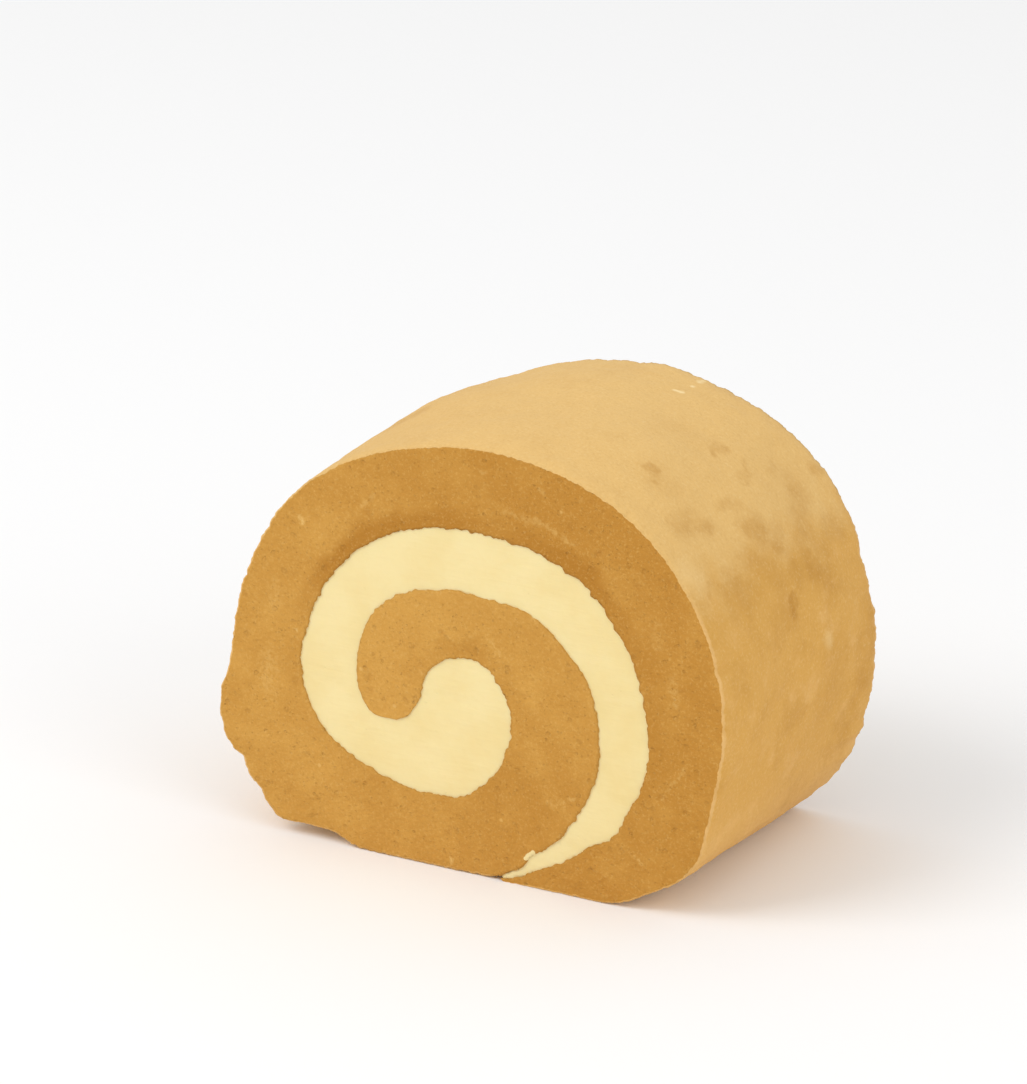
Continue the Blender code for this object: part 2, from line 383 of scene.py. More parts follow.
class SwissRollStage(bpy.types.PropertyGroup):
    """Camera and light."""

    camera_turn: FloatProperty(
        name="Camera turn",
        description="Heading of the view, turned from +Y towards -X",
        default=math.radians(30),
        subtype="ANGLE",
    )
    camera_tilt: FloatProperty(
        name="Camera tilt",
        description="How far the view looks down",
        default=math.radians(19),
        subtype="ANGLE",
    )
    camera_place: FloatVectorProperty(
        name="Camera place",
        description="Where the camera stands",
        default=(0.3956, -0.6965, 0.3247),
        subtype="TRANSLATION",
        unit="LENGTH",
    )
    lens: FloatProperty(
        name="Lens",
        description="Focal length on a 36 mm sensor, in millimetres",
        default=172.7,
        unit="CAMERA",
    )
    key_power: FloatProperty(
        name="Key power",
        description="Softbox at the upper left",
        default=9.5,
        unit="POWER",
    )
    fill_power: FloatProperty(
        name="Fill power",
        description="Softbox at the right",
        default=3.8,
        unit="POWER",
    )
    sky: FloatProperty(name="Sky", description="Strength of the even white surround", default=0.77)


def radius_between_stations(radii, turn):
    """Smooth curve through the station radii: a cubic in each twelfth of a turn."""
    place = (turn - FIRST_STATION) / STATION_STEP
    station = min(max(int(math.floor(place)), 0), len(radii) - 2)
    share = place - station
    before = radii[max(station - 1, 0)]
    here, after = radii[station], radii[station + 1]
    beyond = radii[min(station + 2, len(radii) - 1)]
    slope_here = (after - before) / 2
    slope_after = (beyond - here) / 2
    rise = after - here
    cubic = slope_here + slope_after - 2 * rise
    square = 3 * rise - 2 * slope_here - slope_after
    return here + share * (slope_here + share * (square + share * cubic))


def sheet_radii(turn):
    """Distances of the sheet's outer and inner side from the swirl's centre, rounded at the inner end."""
    outer = radius_between_stations(OUTSIDE_RADII, turn)
    inner = radius_between_stations(INSIDE_RADII, turn)
    if turn <= ROUNDED_FROM:
        return outer, inner
    towards_end = ROUNDED_SHARE * (turn - ROUNDED_FROM) / (SHEET_END - ROUNDED_FROM)
    middle = (outer + inner) / 2
    half = (outer - inner) / 2 * math.sqrt(1 - towards_end**2)
    return middle + half, middle - half


def is_skin(turn):
    """Whether the sheet's outer side is the roll's skin here, and not inside the roll."""
    return turn <= SKIN_END


def skin_form(turn, along_roll):
    """Height of the bulges and waves on the outer skin, as the solids have them."""
    if not is_skin(turn):
        return 0.0
    bulges = sum(
        (front + (back - front) * along_roll) * math.exp(-(((turn - centre) / spread) ** 2))
        for centre, front, back, spread in BULGES
    )
    waves = sum(
        height * math.sin(around * math.radians(turn) + 2 * math.pi * lengthwise * along_roll + start)
        for height, around, lengthwise, start in SKIN_WAVES
    )
    underneath = max(0.0, math.sin(math.radians(-turn)))
    return bulges + waves * (1 - underneath) * math.sin(math.pi * along_roll)


def section_point(turn, radius):
    """Point of the swirl's section, pressed flat where it would pass under the base."""
    angle = math.radians(turn)
    x = SWIRL_CENTRE_X + radius * math.cos(angle)
    z = SWIRL_CENTRE_Z + radius * math.sin(angle)
    if z < BASE_ROUNDING:
        z = max(z + BASE_ROUNDING, 0.0) ** 2 / (4 * BASE_ROUNDING)
    return x, z


def middle_offset():
    """How far the section is moved sideways, so that the roll's box is centred in the frame."""
    turns = np.linspace(SHEET_START, SKIN_END, BOX_SAMPLES)
    across = [
        section_point(turn, sheet_radii(turn)[0] + skin_form(turn, along))[0] * (1 + BACK_SPREAD * along)
        for turn in turns
        for along in (0.0, 0.5, 1.0)
    ]
    return (min(across) + max(across)) / 2


SIDEWAYS = middle_offset()


def settle(x, y, z):
    """Section point in millimetres, y from the front cut, to metres in the shared frame."""
    along_roll = y / ROLL_LENGTH
    arch = 4 * along_roll * (1 - along_roll)
    x = x * (1 + BACK_SPREAD * along_roll) - SIDEWAYS
    z *= 1 + CROWN * arch + BACK_RISE * along_roll
    return Vector((x * MM, y * MM + SPONGE_LOW[1], z * MM))


def turns_and_distances(count):
    """Turns that divide the sheet's middle into equal lengths, and their distances from its start."""
    turns = np.linspace(SHEET_START, SHEET_END, ARC_SAMPLES)
    middle = [section_point(turn, sum(sheet_radii(turn)) / 2) for turn in turns]
    steps = np.linalg.norm(np.diff(middle, axis=0), axis=1)
    length = np.concatenate([[0.0], np.cumsum(steps)])
    distances = np.linspace(0.0, length[-1], count)
    return np.interp(distances, length, turns), distances


def wander(x, y, z, size, octaves=3):
    """Smooth noise about zero, with features of this size."""
    return noise.fractal(Vector((x, y, z)) / size, NOISE_SOFTNESS, NOISE_STEP, octaves)


def bell(distance, width):
    """1 at no distance, falling softly to about a third at the width and on towards 0."""
    return math.exp(-((distance / width) ** 2))


def dragged(x, z, from_front):
    """The place after the knife's drag, which pushes sponge and cream together near the front cut."""
    at_cut = bell(from_front, DRAG_REACH)
    moves = [
        (bell(math.hypot(x - drag_x, z - drag_z), reach) * at_cut, push_x, push_z)
        for drag_x, drag_z, push_x, push_z, reach in DRAGS
    ]
    x += sum(share * push_x for share, push_x, push_z in moves)
    z += sum(share * push_z for share, push_x, push_z in moves)
    return x, z


def pore_at(x, z, end, spacing):
    """1 at the middle of an open pore and 0 away from them. Their sizes differ and their rims wander."""
    elsewhere = CRUMB_APART * end
    pushed_x = x + PORE_WOBBLE * wander(x, elsewhere + 9, z, PORE_WOBBLE_NOISE)
    pushed_z = z + PORE_WOBBLE * wander(x, elsewhere + 5, z, PORE_WOBBLE_NOISE)
    distances, points = noise.voronoi(Vector((pushed_x, elsewhere, pushed_z)) / spacing)
    radius = WIDEST_PORE * max(0.0, noise.cell(points[0] * PORE_SHUFFLE))
    return max(0.0, 1 - distances[0] / radius) if radius > NARROWEST_PORE else 0.0


def new_piece(name, bm, material, node):
    """Object of this name from the bmesh, facing out and smooth, riding on the roll's one body."""
    bmesh.ops.recalc_face_normals(bm, faces=bm.faces)
    if bm.calc_volume(signed=True) < 0:
        bmesh.ops.reverse_faces(bm, faces=bm.faces)
    mesh = bpy.data.meshes.new(name)
    bm.to_mesh(mesh)
    bm.free()
    mesh.shade_smooth()
    mesh.materials.append(material)
    piece = bpy.data.objects.new(name, mesh)
    bpy.context.scene.collection.objects.link(piece)
    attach(piece, "root")
    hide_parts(node)


def upright_edges(bm):
    """Edges that run up the prism, from ring to ring."""
    return [edge for edge in bm.edges if abs(edge.verts[0].co.z - edge.verts[1].co.z) > LEVEL_WITHIN]


def raise_prism(bm, height, rings):
    """Extrudes the flat shape upwards to a closed prism, cut across into rings."""
    raised = bmesh.ops.extrude_face_region(bm, geom=bm.faces[:], use_keep_orig=True)
    top = [item for item in raised["geom"] if isinstance(item, bmesh.types.BMVert)]
    bmesh.ops.translate(bm, verts=top, vec=(0.0, 0.0, height))
    bmesh.ops.subdivide_edges(bm, edges=upright_edges(bm), cuts=rings - 1, use_grid_fill=True)


def dents_at(turn, from_front):
    """How far the dents push the skin in here, or below zero for lumps."""
    return sum(
        depth * bell(turn - centre, width) * bell(from_front - along * ROLL_LENGTH, DENT_REACH)
        for along, centre, depth, width in DENTS
    )


def raggedness(x, z, end):
    """How far the crumb's edge wanders here, as a share of the ragged edge's size."""
    elsewhere = RAGGED_APART * end
    slow_size, quick_size, torn_size = RAGGED_NOISE
    slow_share, quick_share, torn_share = RAGGED_SHARES
    slow = wander(x, elsewhere, z, slow_size, 2)
    quick = wander(x, elsewhere + 20, z, quick_size, 3)
    torn = max(0.0, wander(x, elsewhere + 40, z, torn_size, 2) - TORN_ABOVE)
    return slow_share * slow + quick_share * quick + torn_share * torn


def crumb_relief(x, z, end, pore, near_cream):
    """Depth of the open crumb here, as a share of the crumb relief's size."""
    elsewhere = CRUMB_APART * end
    broad_share, grain_share, pore_share = RELIEF_SHARES
    broad = 0.5 + 0.5 * wander(x, elsewhere, z, BROAD_NOISE, 2)
    grain = abs(wander(x, elsewhere, z, GRAIN_NOISE))
    fine = (grain_share * grain + pore_share * pore) * (1 - SMOOTHED * near_cream)
    return broad_share * broad + fine


def sheet_point(turn, to_tip, depth_share, along_roll, sizes):
    """A point of the rough sheet in millimetres, with its depth, what remains below it, and its pore."""
    outer_radius, inner_radius = sheet_radii(turn)
    from_front = along_roll * ROLL_LENGTH
    to_cut = min(from_front, ROLL_LENGTH - from_front)
    end = 0 if along_roll < 0.5 else 1
    form = skin_form(turn, along_roll)
    if is_skin(turn):
        form -= dents_at(turn, from_front)
    outer = Vector(dragged(*section_point(turn, outer_radius + form), from_front))
    inner = Vector(dragged(*section_point(turn, inner_radius), from_front))
    across = inner - outer
    thickness = across.length
    depth = depth_share * thickness
    remaining = thickness - depth
    x, z = outer + across * depth_share
    at_cut = bell(to_cut, CUT_REACH)
    ragged = raggedness(x, z, end) * sizes.ragged_edge / MM * at_cut
    shift = ragged * bell(remaining, EDGE_REACH)
    if is_skin(turn):
        wear = RIM_LEAST + RIM_VARIES * abs(wander(x, RAGGED_APART * end, z, RIM_NOISE, 3))
        worn = sizes.rim_wear / MM * wear
        rough = sizes.skin_unevenness / MM * wander(x, from_front, z, SKIN_NOISE, 4)
        above_base = min(1.0, z / SKIN_SETTLES)
        shift += (worn * at_cut - rough * above_base) * bell(depth, EDGE_REACH)
        to_cream = max(remaining - shift, 0.0)
    else:
        shift -= ragged * bell(depth, EDGE_REACH)
        at_tip = min(1.0, TIP_SHARE + to_tip / TIP_REACH)
        to_cream = max(min(depth + shift, remaining - shift, to_tip), 0.0) * at_tip
    x += across[0] / thickness * shift
    z += across[1] / thickness * shift
    near_cream = bell(to_cream, BESIDE_CREAM)
    in_face = max(0.0, 1 - to_cut / FACE_DEPTH)
    pore = pore_at(x, z, end, sizes.pore_spacing / MM) * (1 - near_cream) * in_face
    relief = sizes.crumb_relief / MM * crumb_relief(x, z, end, pore, near_cream)
    dip = min(relief, EDGE_DIP + DIP_GROWTH * to_cream**2) * in_face
    y = from_front + dip if end == 0 else from_front - dip
    return (x, y, max(z, 0.0)), depth, remaining, pore


class SWISS_ROLL_OT_sponge(bpy.types.Operator):
    """Model the rolled sheet of sponge, with its open crumb at the cuts and its skin outside"""

    bl_idname = "swiss_roll.sponge"
    bl_label = "Roll the sponge"

    def execute(self, context):
        scene = context.scene
        sizes = scene.swiss_roll_sizes
        turns, distances = turns_and_distances(SHEET_COLUMNS + 1)
        bm = bmesh.new()
        bmesh.ops.create_grid(bm, x_segments=SHEET_COLUMNS, y_segments=SHEET_LAYERS, size=0.5)
        raise_prism(bm, 1.0, SHEET_RINGS)
        skin_end = np.searchsorted(turns, SKIN_END) / SHEET_COLUMNS - 0.5
        on_skin_side = [
            edge
            for edge in upright_edges(bm)
            if all(vert.co.y < SLAB_SKIN_SIDE and vert.co.x < skin_end for vert in edge.verts)
        ]
        bmesh.ops.subdivide_edges(bm, edges=on_skin_side, cuts=SKIN_CUTS, use_grid_fill=True)
        sheet_layer = bm.verts.layers.float_vector.new("sheet")
        pore_layer = bm.verts.layers.float.new("pore")
        for vert in bm.verts:
            column = round((vert.co.x + 0.5) * SHEET_COLUMNS)
            crowded = RING_CROWDING * math.sin(2 * math.pi * vert.co.z) / (2 * math.pi)
            along_roll = min(max(vert.co.z - crowded, 0.0), 1.0)
            to_tip = distances[-1] - distances[column]
            place, depth, remaining, pore = sheet_point(
                turns[column], to_tip, vert.co.y + 0.5, along_roll, sizes
            )
            vert.co = settle(*place)
            vert[sheet_layer] = Vector((distances[column], depth, remaining)) * MM
            vert[pore_layer] = pore
        material = sponge_finish(scene.swiss_roll_colours, sizes)
        new_piece("sponge_sheet", bm, material, "sponge")
        return {"FINISHED"}


def cream_outline(overlap):
    """Closed outline of the cream: along the sheet's inside, round its inner end and back outside it."""
    inward_turns = SHEET_END - CREAM_TAIL_START
    outward_turns = inward_turns - 360
    inward_count = round(CREAM_OUTLINE_POINTS * inward_turns / (inward_turns + outward_turns))
    inwards = np.linspace(CREAM_TAIL_START, SHEET_END, inward_count)
    outwards = np.linspace(SHEET_END, CREAM_TAIL_START + 360, CREAM_OUTLINE_POINTS - inward_count)
    contact = [section_point(turn, sheet_radii(turn)[1]) for turn in inwards]
    contact += [section_point(turn, sheet_radii(turn)[0]) for turn in outwards]
    contact = np.array(contact)
    heading = np.gradient(contact, axis=0)
    heading /= np.linalg.norm(heading, axis=1)[:, None]
    into_sheet = np.stack([heading[:, 1], -heading[:, 0]], axis=1)
    from_tail = np.concatenate([inwards, outwards - 360]) - CREAM_TAIL_START
    reach = overlap * np.clip(from_tail / CREAM_TAIL_TAPER, CREAM_TAIL_SHARE, 1.0)
    return contact + reach[:, None] * into_sheet


class SWISS_ROLL_OT_cream(bpy.types.Operator):
    """Model the one spiral of cream, from its thin tail at the seam to the blob in the middle"""

    bl_idname = "swiss_roll.cream"
    bl_label = "Fill with cream"

    def execute(self, context):
        scene = context.scene
        sizes = scene.swiss_roll_sizes
        outline = cream_outline(sizes.cream_overlap / MM)
        bm = bmesh.new()
        bmesh.ops.create_circle(bm, cap_ends=True, segments=len(outline), radius=1.0)
        bm.verts.ensure_lookup_table()
        for vert, (x, z) in zip(bm.verts, outline):
            vert.co = (x, z, 0.0)
        bm.normal_update()
        bmesh.ops.triangulate(bm, faces=bm.faces[:])
        for axis, (low, high) in enumerate(zip(outline.min(axis=0), outline.max(axis=0))):
            across = Vector((1.0, 0.0, 0.0)) if axis == 0 else Vector((0.0, 1.0, 0.0))
            for level in np.arange(low + CREAM_CELL / 2, high, CREAM_CELL):
                bmesh.ops.bisect_plane(
                    bm,
                    geom=bm.verts[:] + bm.edges[:] + bm.faces[:],
                    dist=CREAM_WELD,
                    plane_co=across * level,
                    plane_no=across,
                )
        raise_prism(bm, ROLL_LENGTH, CREAM_RINGS)
        recess = sizes.cream_recess / MM
        for vert in bm.verts:
            x, z, y = vert.co
            end = 0 if y < ROLL_LENGTH / 2 else 1
            elsewhere = CREAM_APART * end
            cloud = wander(x, elsewhere, z, CREAM_CLOUD, 2)
            drag = wander(x * CREAM_DRAG_STRETCH, elsewhere + 40, z, CREAM_DRAG, 2)
            dip = recess * (1 + CREAM_CLOUD_SHARE * cloud + CREAM_DRAG_SHARE * drag)
            x, z = dragged(x, z, y)
            y = ROLL_LENGTH / 2 + (y - ROLL_LENGTH / 2) * (1 - 2 * dip / ROLL_LENGTH)
            vert.co = settle(x, y, z)
        new_piece("cream_spiral", bm, cream_finish(scene.swiss_roll_colours), "cream")
        return {"FINISHED"}


class Value:
    """A shader socket that takes part in arithmetic: each operation adds its Math node."""

    def __init__(self, finish, socket):
        self.finish = finish
        self.socket = socket

    def other(self, output):
        """Another output of the same node."""
        return Value(self.finish, self.socket.node.outputs[output])

    def math(self, operation, first, second=0.0):
        return self.finish.add("ShaderNodeMath", {"operation": operation}, {0: first, 1: second})

    def __add__(self, other):
        return self.math("ADD", self, other)

    def __sub__(self, other):
        return self.math("SUBTRACT", self, other)

    def __rsub__(self, other):
        return self.math("SUBTRACT", other, self)

    def __mul__(self, other):
        return self.math("MULTIPLY", self, other)

    def __abs__(self):
        return self.math("ABSOLUTE", self)

    def at_most(self, other):
        return self.math("MINIMUM", self, other)

    def at_least(self, other):
        return self.math("MAXIMUM", self, other)

    __radd__ = __add__
    __rmul__ = __mul__


class Finish:
    """A material, with one method that adds any node and a few that use it."""

    def __init__(self, name):
        self.material = bpy.data.materials.new(name)
        self.material.use_nodes = True
        self.tree = self.material.node_tree
        self.surface = self.tree.nodes["Principled BSDF"]

    def plug(self, socket, value):
        if isinstance(value, Value):
            self.tree.links.new(value.socket, socket)
        else:
            socket.default_value = value

    def add(self, kind, settings=None, sockets=None, output=0):
        """Adds a node of this kind, with its settings and then its sockets' values or links."""
        node = self.tree.nodes.new(kind)
        for name, value in (settings or {}).items():
            setattr(node, name, value)
        for name, value in (sockets or {}).items():
            self.plug(node.inputs[name], value)
        return Value(self, node.outputs[output])

    def vector(self, operation, first, second=(0.0, 0.0, 0.0), output="Vector"):
        return self.add("ShaderNodeVectorMath", {"operation": operation}, {0: first, 1: second}, output)

    def step(self, value, start, end):
        """0 at start and 1 at end, with a smooth rise between. Start may be above end."""
        return self.add(
            "ShaderNodeMapRange",
            {"interpolation_type": "SMOOTHSTEP"},
            {"Value": value, "From Min": start, "From Max": end, "To Min": 0.0, "To Max": 1.0},
        )

    def mix(self, factor, first, second):
        """The first colour, turned into the second as the factor goes from 0 to 1."""
        # inputs 6 and 7 and output 2 are the node's colours
        settings = {"data_type": "RGBA", "clamp_factor": True}
        return self.add("ShaderNodeMix", settings, {0: factor, 6: first, 7: second}, 2)

    def clouds(self, place, size, detail=2.0, roughness=0.5):
        """Noise from 0 to 1 with features of this size in millimetres."""
        sockets = {"Vector": place, "Scale": 1 / (size * MM), "Detail": detail, "Roughness": roughness}
        return self.add("ShaderNodeTexNoise", {}, sockets)

    def patches(self, place, size, start, end, detail=2.0, roughness=0.5):
        """1 where noise of this size has passed the end value, and 0 where it hasn't reached the start."""
        return self.step(self.clouds(place, size, detail, roughness), start, end)

    def drift(self, place, size, reach, detail=2.0):
        """Noise about zero with features of this size in millimetres, and this far from end to end."""
        return (self.clouds(place, size, detail) - 0.5) * reach

    def cells(self, place, size):
        """Distance to the nearest of points this far apart in millimetres, as a share of the spacing."""
        return self.add("ShaderNodeTexVoronoi", {}, {"Vector": place, "Scale": 1 / (size * MM)})

    def wobbled(self, place, size, reach):
        """The place, pushed about by noise with features of this size, up to about this far."""
        push = self.clouds(place, size).other("Color")
        push = self.vector("SUBTRACT", push, (0.5, 0.5, 0.5))
        scale = 2 * reach * MM
        return self.vector("ADD", place, self.vector("MULTIPLY", push, (scale, scale, scale)))

    def pores(self, place, spacing, widest):
        """1 inside round pores of many sizes, up to this share of the spacing, and 0 between them."""
        distance = self.cells(place, spacing)
        chance = self.add("ShaderNodeSeparateColor", {}, {"Color": distance.other("Color")})
        radius = ((chance - PORELESS) * (widest / (1 - PORELESS))).at_least(SMALLEST_RADIUS)
        return self.step(distance, radius, radius * PORE_CORE)

    def stroke(self, place, start, end, radius):
        """1 along the line from start to end, falling softly to 0 at about this radius in millimetres."""
        line = end - start
        offset = self.vector("SUBTRACT", place, start)
        share = self.vector("DOT_PRODUCT", offset, line / line.length_squared, "Value")
        share = share.at_least(0.0).at_most(1.0)
        nearest = self.add("ShaderNodeVectorMath", {"operation": "SCALE"}, {0: line, "Scale": share})
        distance = self.vector("DISTANCE", offset, nearest, "Value")
        return self.step(distance, STROKE_SOFTNESS * radius * MM, 0.0)

    def strongest(self, masks):
        """The largest of the masks at each place."""
        total = masks[0]
        for mask in masks[1:]:
            total = total.at_least(mask)
        return total

    def bump(self, height, depth):
        return self.add("ShaderNodeBump", {}, {"Height": height, "Distance": depth * MM, "Strength": 1.0})

    def set(self, **values):
        """Sets or links the shader's own sockets. An underscore in a name stands for a space."""
        for name, value in values.items():
            self.plug(self.surface.inputs[name.replace("_", " ")], value)


def opaque(colour):
    """The colour with full alpha, as a colour socket takes it."""
    return (*colour, 1.0)


def on_skin(turn, along_roll):
    """Place on the skin in the shared frame."""
    x, z = section_point(turn, sheet_radii(turn)[0] + skin_form(turn, along_roll))
    return settle(x, along_roll * ROLL_LENGTH, z)


def on_cut(x, z):
    """Place on the cut face, drawn flat on the plane of zero depth."""
    return Vector((x, 0.0, z)) * MM


def skin_marks(finish, place, marks):
    """How strongly the marks colour the skin here."""
    return finish.strongest([
        finish.stroke(place, on_skin(turn, along), on_skin(end_turn, end_along), radius) * strength
        for turn, along, end_turn, end_along, radius, strength in marks
    ])


def skin_colour(finish, colours, place):
    """Colour of the outside with its marks, and a mask that is 1 on its lower, darker sides. The sides grow
    darker towards the bottom, partly from browner baking and partly as painted shade, and the foot is paler
    with painted light.
    """
    across = finish.add("ShaderNodeSeparateXYZ", {}, {"Vector": place})
    height = across.other("Z")
    drift = finish.drift(place, 16.0, 0.016) + finish.drift(place, 5.0, 0.012, 3.0)
    drift = drift * (1 + 1.6 * finish.step(across, *MORE_DRIFT_LEFT))
    # Darker and browner towards the bottom: partly browner baking, partly painted shade.
    low = finish.step(height + drift, *SHADED_BROWNER_SIDES)
    browning_and_shade = 0.77 * low + 0.23 * finish.step(height, *SHADED_BROWNER_BELOW_TOP)
    colour = finish.mix(browning_and_shade, opaque(colours.skin), opaque(colours.skin_browned_and_shaded))
    # Painted light near the base, paling the skin where its underside curve falls into shade.
    colour = finish.mix(finish.step(height, *PAINTED_LIGHT_FOOT) * 0.40, colour, opaque(colours.paler_skin_and_painted_light))
    mottle = finish.patches(place, 8.0, 0.46, 0.74, 4.0, 0.6)
    colour = finish.mix(mottle * (0.10 + 0.22 * low), colour, opaque(colours.skin_brown))
    elsewhere = finish.vector("ADD", place, UNUSED_NOISE)
    lighter = finish.patches(elsewhere, 6.0, 0.50, 0.74, 3.0)
    colour = finish.mix(lighter * low * 0.35, colour, opaque(colours.paler_skin_and_painted_light))
    wobbly = finish.wobbled(place, 3.4, 2.4)
    patchy = finish.patches(place, 2.2, 0.26, 0.62, 3.0, 0.6)
    brown = skin_marks(finish, wobbly, BROWN_MARKS) * (0.40 + 0.45 * patchy)
    colour = finish.mix(brown, colour, opaque(colours.skin_brown))
    grain = finish.clouds(place, 0.50, 3.0, 0.6)
    colour = finish.mix(finish.step(grain, 0.50, 0.78) * 0.18, colour, opaque(colours.skin_brown))
    colour = finish.mix(finish.step(grain, 0.48, 0.26) * 0.16, colour, opaque(colours.skin_pale))
    pale = skin_marks(finish, finish.wobbled(place, 1.2, 0.5), PALE_MARKS)
    return finish.mix(pale, colour, opaque(colours.skin_pale)), low


def crumb_finish(finish, colours, place, sheet):
    """Colour and height of the cut crumb: mottled, soaked beside the cream, with painted shade in its pores,
    and flecks.
    """
    distance = finish.add("ShaderNodeSeparateXYZ", {}, {"Vector": sheet})
    remaining = distance.other("Z")
    across = finish.add("ShaderNodeSeparateXYZ", {}, {"Vector": place})
    mottle = finish.patches(place, 6.0, 0.36, 0.74, 4.0, 0.6)
    in_curl = finish.step(distance, *IN_CURL)
    paleness = mottle * 0.45 + finish.step(across, *PALE_LEFT) * 0.55 + in_curl * 0.40
    paleness = paleness - finish.step(across.other("Z"), *DARKER_TOP) * 0.24
    colour = finish.mix(paleness, opaque(colours.crumb), opaque(colours.crumb_pale))
    edge = remaining + finish.drift(place, 4.5, 0.005, 3.0)
    upper = finish.step(across.other("Z"), *SOAKED_UPPER)
    patchy = finish.patches(place, 26.0, 0.36, 0.60)
    soaked = finish.step(edge, *SOAKED_BAND) * (0.12 + 0.78 * upper) * (0.4 + 0.6 * patchy)
    colour = finish.mix(soaked, colour, opaque(colours.crumb_soaked))
    along_sheet = finish.vector("MULTIPLY", sheet, (0.10, 1.0, 1.0))
    strokes = finish.patches(along_sheet, 1.1, 0.62, 0.80)
    colour = finish.mix(strokes * 0.30, colour, opaque(colours.crumb_pale))
    wide = finish.pores(finish.wobbled(place, 0.9, 0.40), 1.9, 0.36)
    fine = finish.pores(finish.wobbled(place, 0.5, 0.18), 0.62, 0.46)
    pit = finish.add("ShaderNodeAttribute", {"attribute_name": "pore"}, output="Fac")
    # Painted shade: pores and pits are darkened towards the pore colour, where shade falls in them.
    painted_pore_shade = (wide * 0.12).at_least(fine * 0.08).at_least(pit * 0.20)
    colour = finish.mix(painted_pore_shade, colour, opaque(colours.pore))
    grain = finish.clouds(place, 0.42, 3.0, 0.65)
    colour = finish.mix(finish.step(grain, 0.48, 0.76) * 0.22, colour, opaque(colours.crumb_soaked))
    colour = finish.mix(finish.step(grain, 0.50, 0.26) * 0.26, colour, opaque(colours.fleck))
    flat_place = finish.vector("MULTIPLY", finish.wobbled(place, 1.3, 0.8), (1.0, 0.0, 1.0))
    flecks = finish.strongest([
        finish.stroke(flat_place, on_cut(x, z), on_cut(end_x, end_z), radius) * strength
        for x, z, end_x, end_z, radius, strength in CRUMB_FLECKS
    ])
    at_front = finish.step(across.other("Y"), *FRONT_HALF)
    scattered = finish.cells(place, FLECK_SPACING)
    chosen = finish.add("ShaderNodeSeparateColor", {}, {"Color": scattered.other("Color")})
    scattered = finish.step(scattered, *FLECK_RADIUS) * finish.step(chosen, *FLECK_CHOSEN)
    scattered = scattered * FLECK_STRENGTH
    patchy = finish.patches(place, 0.6, 0.36, 0.60)
    flecks = flecks * patchy * at_front
    colour = finish.mix(flecks.at_least(scattered), colour, opaque(colours.fleck))
    smear_place = finish.vector("MULTIPLY", finish.wobbled(place, 0.8, 0.22), (1.0, 0.0, 1.0))
    smears = finish.strongest([
        finish.stroke(smear_place, on_cut(x, z), on_cut(end_x, end_z), radius)
        for x, z, end_x, end_z, radius in CREAM_SMEARS
    ])
    smears = finish.step(smears, *SMEAR_EDGE) * at_front
    colour = finish.mix(smears, colour, opaque(colours.cream))
    height = finish.clouds(place, 0.55, 3.0, 0.7) * 0.8 - wide * 0.55 - fine * 0.3
    return colour, height


def sponge_finish(colours, sizes):
    """Crumb on the cut faces, and skin outside and along its thin line at the cuts."""
    finish = Finish("sponge")
    place = finish.add("ShaderNodeTexCoord", output="Object")
    sheet = finish.add("ShaderNodeAttribute", {"attribute_name": "sheet"}, output="Vector")
    distance = finish.add("ShaderNodeSeparateXYZ", {}, {"Vector": sheet})
    depth = distance.other("Y")
    lengthwise = finish.add("ShaderNodeSeparateXYZ", {}, {"Vector": place}, "Y")
    turns, distances = turns_and_distances(ARC_SAMPLES)
    seam = float(np.interp(SEAM_TURN, turns, distances)) * MM
    uneven = finish.drift(place, 1.1, SKIN_WANDERS, 3.0)
    all_crumb, all_skin = [share * sizes.skin_thickness for share in SKIN_GIVES_WAY]
    skin = finish.step(depth + uneven, all_crumb, all_skin)
    skin = skin * finish.step(distance, seam, seam - SEAM_FADE)
    skin_tone, low = skin_colour(finish, colours, place)
    to_cut = SPONGE_HIGH[1] - abs(lengthwise)
    height = finish.add("ShaderNodeSeparateXYZ", {}, {"Vector": place}, "Z")
    broken = finish.patches(place, 3.0, 0.30, 0.62, 3.0)
    # A paler line along the skin beside the cuts, stronger on the lower sides.
    rim = finish.step(to_cut + 2.0 * uneven, *BESIDE_RIM)
    rim = rim * (0.1 + 0.9 * low) * (0.45 + 0.40 * broken)
    rim = rim * finish.step(height, *RIM_ABOVE_BASE)
    skin_tone = finish.mix(rim, skin_tone, opaque(colours.paler_skin_and_painted_light))
    crumb_tone, crumb_height = crumb_finish(finish, colours, place, sheet)
    skin_height = finish.clouds(place, 0.7, 3.0, 0.6) * 0.5 + finish.clouds(place, 3.0, 2.0) * 0.6
    finish.set(
        Base_Color=finish.mix(skin, crumb_tone, skin_tone),
        Roughness=0.95 - 0.2 * skin,
        Normal=finish.bump(crumb_height * (1 - skin) + skin_height * skin, 0.28),
        Specular_IOR_Level=0.25,
    )
    return finish.material


